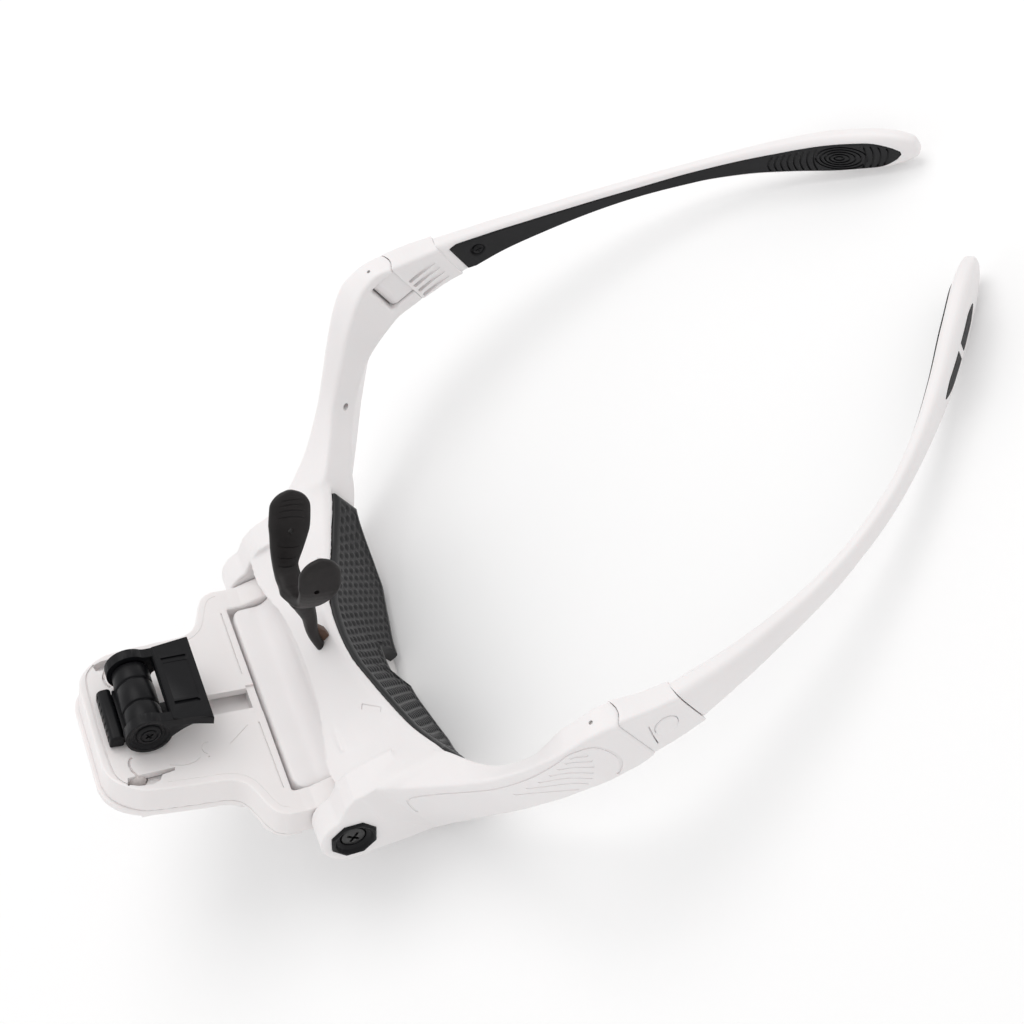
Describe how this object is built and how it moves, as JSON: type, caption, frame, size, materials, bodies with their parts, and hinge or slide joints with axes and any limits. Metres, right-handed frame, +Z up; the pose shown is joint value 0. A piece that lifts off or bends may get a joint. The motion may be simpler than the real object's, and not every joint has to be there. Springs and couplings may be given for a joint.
{
  "type": "head visor magnifier",
  "caption": "Spectacle-frame visor with padded brow, tilting lamp housing, sliding flip-up lens clip, soft nose pad and folding detachable temples, stored brow down.",
  "frame": {"origin": "centre of the bounding box at the level of the surface the visor lies on", "axes": "+X across the head, towards the temple that lies slightly folded; -Y towards the lamp housing and +Y towards the temple tips; +Z up from the surface it lies on, which is downwards when worn"},
  "size_m": [0.1568, 0.2348, 0.0631],
  "materials": {
    "white_plastic": "white satin moulded ABS with a fine spark texture",
    "lamp_plastic": "white satin moulded ABS",
    "carrier_plastic": "white plastic strip",
    "pad_foam": "soft black foam rubber with small raised bumps",
    "nose_rubber": "matte black silicone rubber",
    "black_plastic": "matte black moulded plastic",
    "bracket_plastic": "matte black moulded nylon",
    "grip_rubber": "matte black soft-touch rubber",
    "screw_steel": "plated steel screw",
    "pin_steel": "plain steel pin",
    "cell_steel": "nickel-plated steel can",
    "contact_brass": "sprung brass strip",
    "board": "green laminate board",
    "led_lens": "water-clear epoxy"
  },
  "bodies": {
    "frame": {"front_frame": "white_plastic", "brow_cover": "white_plastic", "pad_carrier": "carrier_plastic", "forehead_pad": "pad_foam", "nose_pad": "nose_rubber", "nose_post": "nose_rubber", "pivot_knob_left": "black_plastic", "pivot_knob_right": "black_plastic", "hinge_pin_left": "pin_steel", "hinge_pin_right": "pin_steel"},
    "lamp": {"lamp_top_shell": "lamp_plastic", "lamp_bottom_shell": "lamp_plastic", "shell_screws": "screw_steel", "pivot_screws": "screw_steel", "coin_cells": "cell_steel", "battery_contact": "contact_brass", "led_board": "board", "led_left": "led_lens", "led_right": "led_lens"},
    "battery_cover": {"battery_door": "lamp_plastic"},
    "switch": {"power_switch": "black_plastic"},
    "carriage": {"lens_carriage": "black_plastic", "carriage_grip": "black_plastic"},
    "bracket": {"lens_bracket": "bracket_plastic", "bracket_pin": "pin_steel", "bracket_caps": "bracket_plastic"},
    "connector_left": {"connector_left": "white_plastic"},
    "connector_right": {"connector_right": "white_plastic"},
    "button_left": {"release_button_left": "white_plastic"},
    "button_right": {"release_button_right": "white_plastic"},
    "temple_left": {"temple_arm_left": "white_plastic", "temple_grip_left": "grip_rubber", "temple_screw_left": "screw_steel"},
    "temple_right": {"temple_arm_right": "white_plastic", "temple_grip_right": "grip_rubber", "temple_screw_right": "screw_steel"}
  },
  "joints": [
    {"name": "lamp_tilt", "type": "hinge", "parent": "frame", "child": "lamp", "pos_m": [0.00047, -0.07626, 0.01951], "axis": [1, 0, 0], "range_deg": [-40, 40]},
    {"name": "battery_door_slide", "type": "slide", "parent": "lamp", "child": "battery_cover", "axis": [0, -0.7096, 0.7046], "range_m": [0, 0.024]},
    {"name": "power_switch_slide", "type": "slide", "parent": "lamp", "child": "switch", "axis": [0, 0.7096, -0.7046], "range_m": [0, 0.003]},
    {"name": "lens_carriage_slide", "type": "slide", "parent": "lamp", "child": "carriage", "axis": [0, 0.7096, -0.7046], "range_m": [0, 0.016]},
    {"name": "lens_bracket_flip", "type": "hinge", "parent": "carriage", "child": "bracket", "pos_m": [0.00047, -0.09773, 0.0538], "axis": [1, 0, 0], "range_deg": [0, 100]},
    {"name": "temple_fold_left", "type": "hinge", "parent": "frame", "child": "connector_left", "pos_m": [-0.07353, -0.00526, 0.03475], "axis": [0, -0.0419, -0.9991], "range_deg": [0, 60]},
    {"name": "temple_fold_right", "type": "hinge", "parent": "frame", "child": "connector_right", "pos_m": [0.07447, -0.00526, 0.03475], "axis": [0, 0.0419, 0.9991], "range_deg": [-6.8, 68]},
    {"name": "temple_release_left", "type": "slide", "parent": "connector_left", "child": "temple_left", "axis": [0, 0.9444, -0.3288], "range_m": [0, 0.012]},
    {"name": "temple_release_right", "type": "slide", "parent": "connector_right", "child": "temple_right", "axis": [-0.1134, 0.9377, -0.3286], "range_m": [0, 0.012]},
    {"name": "release_button_left", "type": "slide", "parent": "connector_left", "child": "button_left", "axis": [1, 0, 0], "range_m": [0, 0.0008], "stiffness_N_per_m": 400, "springref_m": -0.0005},
    {"name": "release_button_right", "type": "slide", "parent": "connector_right", "child": "button_right", "axis": [-0.993, -0.1183, 0.005], "range_m": [0, 0.0008], "stiffness_N_per_m": 400, "springref_m": -0.0005}
  ]
}
